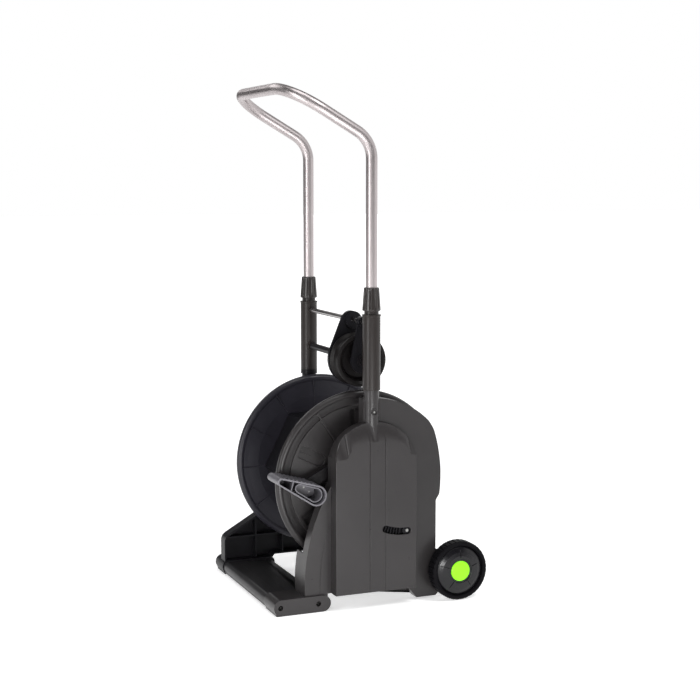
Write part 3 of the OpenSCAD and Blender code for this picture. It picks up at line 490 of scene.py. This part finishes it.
def bake(obj):
    """Turns obj's modifiers into its own mesh."""
    graph = bpy.context.evaluated_depsgraph_get()
    mesh = bpy.data.meshes.new_from_object(obj.evaluated_get(graph))
    obj.modifiers.clear()
    obj.data = mesh


def publish(obj, body, nodes, sharp=38.0):
    """Finishes a piece: smooth shading, its slot's finish, its body; the CAD nodes it stands for are hidden."""
    obj.data.materials.clear()
    obj.data.materials.append(finish_for(nodes[0]))
    obj.data.shade_smooth()
    obj.data.set_sharp_from_angle(angle=math.radians(sharp))
    weighted = obj.modifiers.new("even_normals", "WEIGHTED_NORMAL")
    weighted.keep_sharp = True
    bake(obj)
    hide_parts(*nodes)
    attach(obj, body)


def finish_bm(bm, name, node, sharp=38.0):
    publish(new_object(name, mesh_from(bm, name)), body_of[node], [node], sharp)


def finish_cut(bm, cut, name, node):
    """The same for a piece that first has the shapes in cut taken out of it."""
    obj = new_object(name, mesh_from(bm, name))
    cut_away(obj, cut)
    publish(obj, body_of[node], [node])


def lift(node):
    """A node's shape as clean polygons, ready for its edges to be rounded."""
    bm = bmesh.new()
    bm.from_mesh(frame["nodes"][node].data)
    bmesh.ops.remove_doubles(bm, verts=bm.verts, dist=SAME_POINT)
    bmesh.ops.dissolve_limit(
        bm, angle_limit=SAME_PLANE, verts=bm.verts, edges=bm.edges, use_dissolve_boundaries=False
    )
    bmesh.ops.dissolve_degenerate(bm, dist=SAME_POINT, edges=bm.edges)
    return bm


def soften(bm, width, chosen=None, segments=3):
    """Rounds the sharp edges, or only the chosen ones of them, by width millimetres."""
    edges = [
        e for e in bm.edges
        if len(e.link_faces) == 2 and e.calc_face_angle(0) > SHARP and (chosen is None or chosen(e))
    ]
    if edges:
        bmesh.ops.bevel(
            bm, geom=edges, offset=width * MM, offset_type="OFFSET", segments=segments,
            profile=0.5, affect="EDGES", clamp_overlap=True, loop_slide=True, miter_outer="ARC",
        )


def on_face(x):
    """Picks edges that lie in the plane at x millimetres."""
    return lambda e: all(abs(v.co.x / MM - x) < ON_PLANE for v in e.verts)


# ---------- moulded frame ----------

COVER_X = 198.0
PANEL_X = {"right": 172.0, "left": -176.0}
FOOT_RIMS = {"right": (116.0, 178.0), "left": (-150.0, -200.0)}


def build_gear_cover():
    bm = lift("gear_cover")
    soften(bm, 3.0, on_face(COVER_X), segments=5)
    soften(bm, 0.4)
    finish_bm(bm, "gear_cover_shell", "gear_cover")


def build_side_panels():
    for side, x in PANEL_X.items():
        bm = lift(side + "_side_panel")
        soften(bm, 2.4, on_face(x), segments=4)
        soften(bm, 0.35)
        finish_bm(bm, side + "_side_moulding", side + "_side_panel")


def build_feet():
    for side, rims in FOOT_RIMS.items():
        bm = lift(side + "_foot_cap")
        for rim in rims:
            soften(bm, 1.8, on_face(rim), segments=4)
        soften(bm, 0.3)
        finish_bm(bm, side + "_foot_block", side + "_foot_cap")
    bm = lift("foot_plate")
    soften(bm, 0.08, segments=1)
    finish_bm(bm, "foot_rest_plate", "foot_plate")


# ---------- uprights, handle and clamps ----------

UPRIGHT_X = 170.0
UPRIGHT_R = 17.5
LOWER_ROD_Z, UPPER_ROD_Z = 479.7, 556.7
NUT_FOOT_Z, NUT_TOP_Z = 582, 627
NUT_FOOT_R, NUT_TOP_R = 18, 14.8
NUT_FLUTES, FLUTE_DEPTH = 12, 1.5
NUT_STEP = 2.5
TUBE_R, TUBE_BORE_R, TUBE_SIDES = 11.0, 9.5, 56


def clamp(value):
    """The value, kept between 0 and 1."""
    return max(0.0, min(1.0, value))


def build_uprights():
    # corners: radius, height, corner radius; sockets: height, radius, how far they stand out
    section = soft_outline([
        (11.4, 372, 0.4), (13, 372, 0.6), (13, 428, 0), (UPRIGHT_R, 428, 0.8), (UPRIGHT_R, 571, 0.6),
        (18.4, 572, 0.5), (18.4, 575, 0.8), (14, 575, 0.6), (14, 606, 0.8), (11.4, 606, 0.6),
    ], 4)
    sockets = ((LOWER_ROD_Z, 10, 5), (UPPER_ROD_Z, 7.5, 2))
    for side, sign in SIDES:
        bm = bmesh.new()
        spin_z(bm, section, sign * UPRIGHT_X, 96)
        for z, r, reach in sockets:
            inner, outer = UPRIGHT_X - UPRIGHT_R - reach, UPRIGHT_X - 12
            disc_x(bm, (sign * inner, sign * outer), r, 0, z, 1.0, 64)
        finish_bm(bm, side + "_upright_tube", side + "_upright")


def flutes(r, z, a):
    """How far the clamp nut's skin moves in at radius r, height z and angle a."""
    skin = NUT_FOOT_R - (NUT_FOOT_R - NUT_TOP_R) * (z - NUT_FOOT_Z) / (NUT_TOP_Z - NUT_FOOT_Z)
    outer = clamp((r - skin + 2.5) / 2.0)
    ends = clamp((z - NUT_FOOT_Z - 3.5) / 3.0) * clamp((NUT_TOP_Z - 2.5 - z) / 3.0)
    groove = max(0.0, math.cos(NUT_FLUTES * a)) ** 2.2
    return -FLUTE_DEPTH * outer * ends * groove


def build_clamp_nuts():
    section = soft_outline([
        (14.3, NUT_FOOT_Z, 0.5), (NUT_FOOT_R, NUT_FOOT_Z, 1.6), (NUT_TOP_R, NUT_TOP_Z, 2.2),
        (11.5, NUT_TOP_Z, 0.6), (11.5, 623, 0.5), (14.3, 609, 1.0),
    ], 5)
    dense = []
    for (r0, z0), (r1, z1) in zip(section, section[1:] + section[:1]):
        count = max(1, int(abs(z1 - z0) / NUT_STEP))
        dense += [(r0 + (r1 - r0) * k / count, z0 + (z1 - z0) * k / count) for k in range(count)]
    for side, sign in SIDES:
        bm = bmesh.new()
        spin_z(bm, dense, sign * UPRIGHT_X, 240, flutes)
        finish_bm(bm, side + "_clamp_grip", side + "_clamp_nut", sharp=50)


def handle_path():
    """Centre line of the handle, from the foot of one leg to the foot of the other."""
    leg_foot, leg_top, bend_r, corner_r, reach = 480.0, 872.0, 60.0, 80.0, 168.0
    lean = math.radians(60)
    leg_steps, bend_steps, slope_steps, corner_steps = 8, 12, 4, 20
    half = [
        (UPRIGHT_X, 0.0, leg_foot + k * (leg_top - leg_foot) / leg_steps) for k in range(leg_steps)
    ]
    for k in range(bend_steps + 1):
        a = lean * k / bend_steps
        half.append((UPRIGHT_X, -bend_r * (1 - math.cos(a)), leg_top + bend_r * math.sin(a)))
    bend_y, bend_z = half[-1][1], half[-1][2]
    slope = (reach + bend_y) / math.sin(lean)

    def on_slope(x, run):
        return (x, bend_y - run * math.sin(lean), bend_z + run * math.cos(lean))

    half += [
        on_slope(UPRIGHT_X, (slope - corner_r) * k / slope_steps) for k in range(1, slope_steps)
    ]
    for k in range(corner_steps + 1):
        a = math.pi / 2 * k / corner_steps
        x = UPRIGHT_X - corner_r * (1 - math.cos(a))
        half.append(on_slope(x, slope - corner_r + corner_r * math.sin(a)))
    bar = [on_slope(x, slope) for x in (60.0, 30.0, 0.0, -30.0, -60.0)]
    return half + bar + [(-x, y, z) for x, y, z in reversed(half)]


def build_handle():
    path = [at(*p) for p in handle_path()]
    normal = Vector((0, 1, 0))
    turns = [2 * math.pi * k / TUBE_SIDES for k in range(TUBE_SIDES)]
    outer, inner = [], []
    for i, here in enumerate(path):
        ahead = path[min(i + 1, len(path) - 1)] - path[max(i - 1, 0)]
        ahead.normalize()
        normal = (normal - ahead * normal.dot(ahead)).normalized()
        across = ahead.cross(normal)
        rim = [normal * math.cos(a) + across * math.sin(a) for a in turns]
        outer.append([here + d * TUBE_R * MM for d in rim])
        inner.append([here + d * TUBE_BORE_R * MM for d in rim])
    bm = bmesh.new()
    stack(bm, outer + list(reversed(inner)), close=True)
    finish_bm(bm, "handle_loop", "handle_tube")


# ---------- reel ----------

REEL_Z = 242.7
PHASE = math.radians(3.5)
BEAD_R = 8.0
RIB_HALF, FINE_RIB_HALF, POCKET_HALF = 1.6, 0.8, 12.5


def flange_section(face, side, rim):
    """Half section of a flange; face is the hose side and the bead's outer radius is rim."""
    bead = rim - BEAD_R
    corners = [
        (face - 8, 8.05, 0.3), (face - 8, 22, 0.8), (face + 2, 22, 1.0), (face, 134, 3.0),
        (face + 2, 156, 3.0), (face + 2.6, bead - 4, 0.8),
    ]
    for k in range(17):
        a = math.radians(-40 + 260 * k / 16)
        corners.append((face + BEAD_R - BEAD_R * math.cos(a), bead + BEAD_R * math.sin(a), 0))
    corners += [
        (face + 5.2, bead - 5, 1.5), (face + 5, 156, 3.0), (face + 4.4, 149, 1.0),
        (face + 7, 147.5, 1.0), (face + 7, 80, 1.2), (face + 5, 74, 1.5), (face + 5, 40, 2.0),
        (face + 5, 27, 1.5), (face + 14, 26, 1.0), (face + 14, 8.05, 0.3),
    ]
    return [(side * x, r) for x, r in soft_outline(corners, 4)]


def radial_box(bm, middle, r0, r1, half, xs, edge):
    """A rounded slot shape that points out from the reel's axis."""
    corners = [(r0, -half, half * 0.9), (r1, -half, 3.0), (r1, half, 3.0), (r0, half, half * 0.9)]
    outline = [turned(u, v, middle, 0, REEL_Z) for u, v in soft_outline(corners, 5)]
    soft_slab(bm, outline, xs, edge)


def build_flange(name, node, face, side, rim):
    """One flange: pockets cut into its outer face, ribs on it, fine ribs on the hose side."""
    def span(low, high):
        return (side * (face + low), side * (face + high))

    bm = bmesh.new()
    spin_x(bm, flange_section(face, side, rim), 0, REEL_Z, 192)
    obj = new_object(name, mesh_from(bm, name))
    cut = bmesh.new()
    for i in range(6):
        middle = PHASE + math.radians(30 + 60 * i)
        radial_box(cut, middle, 84, 141, POCKET_HALF, span(1.8, 20), 0.0)
    cut_away(obj, cut)
    bm = bmesh.new()
    bm.from_mesh(obj.data)
    soften(bm, 0.9, on_face(side * (face + 7)))
    for i in range(6):
        middle = PHASE + math.radians(60 * i)
        radial_box(bm, middle, 30, 163, RIB_HALF, span(3, 9.5), 0.5)
    for i in range(12):
        middle = PHASE + math.radians(30 * i)
        radial_box(bm, middle, 112, 168, FINE_RIB_HALF, span(-0.7, 3), 0.3)
    obj.data = mesh_from(bm, name)
    publish(obj, body_of[node], [node])


def build_reel():
    build_flange("near_flange_moulding", "right_flange", 104.0, 1, 178.0)
    build_flange("far_flange_moulding", "left_flange", 117.0, -1, 179.5)
    bm = lift("reel_core")
    soften(bm, 0.8)
    finish_bm(bm, "reel_core_moulding", "reel_core")


# ---------- pedal ----------

def build_pedal():
    bm = lift("foot_pedal")
    soften(bm, 0.35, segments=2)
    finish_bm(bm, "pedal_loop", "foot_pedal")


# ---------- hose guide ----------

ROLLER_X0, ROLLER_X1 = 80.5, 122.0


def build_guide():
    x0, x1 = ROLLER_X0, ROLLER_X1
    mid = (x0 + x1) / 2
    section = soft_outline([
        (x0, 10.1, 0.3), (x0, 16, 1.0), (mid - 3, 16.4, 2.0), (mid - 3, 36, 3.0), (x0 + 4, 41, 2.0),
        (x0, 46, 1.0), (x0, 51.5, 1.0), (x0 + 4, 52.5, 1.6), (x0 + 10, 45.5, 4.0), (x1 - 10, 45.5, 4.0),
        (x1 - 4, 52.5, 1.6), (x1, 51.5, 1.0), (x1, 46, 1.0), (x1 - 4, 41, 2.0), (mid + 3, 36, 3.0),
        (mid + 3, 16.4, 2.0), (x1, 16, 1.0), (x1, 10.1, 0.3),
    ], 4)
    bm = bmesh.new()
    spin_x(bm, section, 0, LOWER_ROD_Z, 144)
    finish_bm(bm, "guide_roller_wheel", "guide_roller", sharp=50)
    for node, name in (("guide_carriage", "guide_bracket"), ("guide_strap", "guide_outer_arm")):
        bm = lift(node)
        soften(bm, 0.7)
        finish_bm(bm, name, node)


# ---------- wheels ----------

AXLE_Y = 177.0
WHEEL_R = 59.3
WHEEL_INNER = 181.0
WHEEL_W = 30.0
TREAD_GROOVES, TREAD_DEPTH = 36, 1.3
SPOKE_GROOVES = 5

# Half sections as (distance out from the wheel's inner face, radius, corner radius)
TYRE = (
    (0, 6.1, 0.3), (0, 15, 1.0), (8, 15.5, 2.0), (8, 41, 2.5), (1, 44, 1.5), (1, 55.5, 1.5),
    (3.5, WHEEL_R, 2.0), (9, WHEEL_R, 0), (15, WHEEL_R, 0), (21, WHEEL_R, 0), (25.5, WHEEL_R, 3.5),
    (29, 55.6, 2.2), (29, 52.4, 1.2), (26, 50.3, 1.0), (18.2, 50.2, 0.4), (18.2, 6.1, 0.3),
)
DISC = (
    (18.2, 12, 0.3), (18.2, 49.9, 0.4), (22, 49.9, 0.8), (24.6, 46, 2.0), (27.6, 38, 6.0),
    (29.2, 30, 6.0), (29.6, 24.4, 0.8), (27.6, 23.6, 0.5), (27.6, 20.6, 0.4), (22, 20.4, 0.3),
    (22, 12, 0.3),
)
CAP = (
    (26, 0.05, 0), (26, 16, 0.2), (22.1, 16, 0.2), (22.1, 19, 0.4), (23, 20.2, 0.3),
    (28.6, 20.2, 1.2), (30.2, 18, 1.6), (30.0, 15.5, 0.8), (30.6, 12, 3.0), (30.8, 0.05, 0),
)


def tread(x, r, a):
    """Shallow cross grooves in the tyre, fading out at both shoulders."""
    depth = clamp((r - WHEEL_R + 2.0) / 1.5)
    across = abs(abs(x) - WHEEL_INNER - WHEEL_W / 2)
    fade = clamp((WHEEL_W / 2 - 2.5 - across) / 2.0)
    groove = max(0.0, math.cos(TREAD_GROOVES * a)) ** 6
    return -TREAD_DEPTH * depth * fade * groove


def wheel_part(corners, sign, segments, relief=None):
    """Turns one half section of the wheel about its axle."""
    section = [(sign * (WHEEL_INNER + x), r) for x, r in soft_outline(corners, 4)]
    bm = bmesh.new()
    spin_x(bm, section, AXLE_Y, WHEEL_R, segments, relief)
    return bm


def build_wheels():
    for side, sign in SIDES:
        tyre = wheel_part(TYRE, sign, 432, tread)
        finish_bm(tyre, side + "_tyre", side + "_wheel", sharp=45)

        cut = bmesh.new()
        reach = (sign * (WHEEL_INNER + 26.4), sign * (WHEEL_INNER + 34))
        for i in range(SPOKE_GROOVES):
            angle = math.radians(18 + 72 * i)
            narrow_box(cut, 26, 46, 0.8, angle, AXLE_Y, WHEEL_R, reach)
        disc = wheel_part(DISC, sign, 180)
        finish_cut(disc, cut, side + "_wheel_face", side + "_wheel_disc")

        cap = wheel_part(CAP, sign, 128)
        finish_bm(cap, side + "_hub_cap", side + "_wheel_cap", sharp=45)


# ---------- screws and other small parts ----------

UPRIGHT_SCREW_Z, UPRIGHT_SEAT_X = 386, 184.5
STOP_YZ, STOP_SEAT_X = (66.07, 149.13), 194.4
HEAD_STEPS = 6
CROSS_DEPTH, CROSS_HALF, CROSS_TURN = 1.3, 0.45, 20


def pan_head(bm, x, sign, y, z, r, h):
    """A domed screw head with its rim on the plane at x."""
    levels = [(x - sign * 0.4, r)]
    for k in range(HEAD_STEPS + 1):
        a = math.pi / 2 * k / HEAD_STEPS
        levels.append((x + sign * h * math.sin(a), max(0.15, r * math.cos(a) ** 0.7)))
    stack_x(bm, levels, y, z, 40)


def screw_head(bm, cut, seat, sign, y, z, r, h, cross_r):
    """A pan head on its seat, and in cut the cross to be taken out of its crown."""
    pan_head(bm, sign * seat, sign, y, z, r, h)
    depths = (sign * (seat + h - CROSS_DEPTH), sign * (seat + h + 4))
    for turn in (math.radians(CROSS_TURN), math.radians(CROSS_TURN + 90)):
        narrow_box(cut, -cross_r, cross_r, CROSS_HALF, turn, y, z, depths)


def build_screws():
    bm, cut = bmesh.new(), bmesh.new()
    z = UPRIGHT_SCREW_Z
    for sign in (1, -1):
        disc_x(bm, (sign * 182.0, sign * 185), 2, 0, z, 0.1, 24)
        screw_head(bm, cut, UPRIGHT_SEAT_X, sign, 0, z, 4.4, 2.4, 2.4)
    finish_cut(bm, cut, "upright_pan_screws", "upright_screws")

    bm, cut = bmesh.new(), bmesh.new()
    y, z = STOP_YZ
    disc_x(bm, (178.0, 194.8), 3, y, z, 0.2, 32)
    screw_head(bm, cut, STOP_SEAT_X, 1, y, z, 3.9, 2.2, 2.1)
    finish_cut(bm, cut, "slot_pan_screw", "stop_screw")


def build_sector():
    """The toothed sector with its slot shutter, and the boss that holds the stop screw."""
    bm = lift("sector_gear")
    soften(bm, 0.25, segments=2)
    disc_x(bm, (186.0, 193.8), 6.5, *STOP_YZ, 0.8, 64)
    finish_bm(bm, "sector_and_shutter", "sector_gear")


def round_small_parts():
    """Every other node keeps its shape and gets a fine edge radius."""
    for node in sorted(body_of):
        if frame["nodes"][node].hide_render:
            continue
        bm = lift(node)
        soften(bm, 0.25, segments=2)
        finish_bm(bm, node + "_finished", node)


build_gear_cover()
build_side_panels()
build_feet()
build_uprights()
build_clamp_nuts()
build_handle()
build_reel()
build_pedal()
build_guide()
build_wheels()
build_screws()
build_sector()
round_small_parts()

add_camera()
add_studio()
